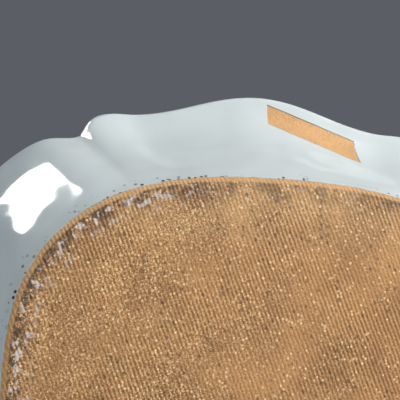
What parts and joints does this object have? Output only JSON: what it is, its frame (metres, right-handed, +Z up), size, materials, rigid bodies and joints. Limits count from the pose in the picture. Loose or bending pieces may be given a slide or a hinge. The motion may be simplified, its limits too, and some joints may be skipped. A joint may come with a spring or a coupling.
{
  "type": "shell-shaped dish",
  "caption": "Shallow shell-shaped porcelain dish with a bracket-shaped handle along one side and a flat unglazed base, for serving food.",
  "frame": {"origin": "middle of the bounding box at the height of the flat base", "axes": "+Z up, +Y towards the handle, X across the dish"},
  "size_m": [0.2498, 0.236, 0.05],
  "materials": {
    "glazed_porcelain": "glossy"
  },
  "bodies": {
    "root": {"dish_body": "glazed_porcelain", "handle_tab": "glazed_porcelain"}
  },
  "joints": []
}
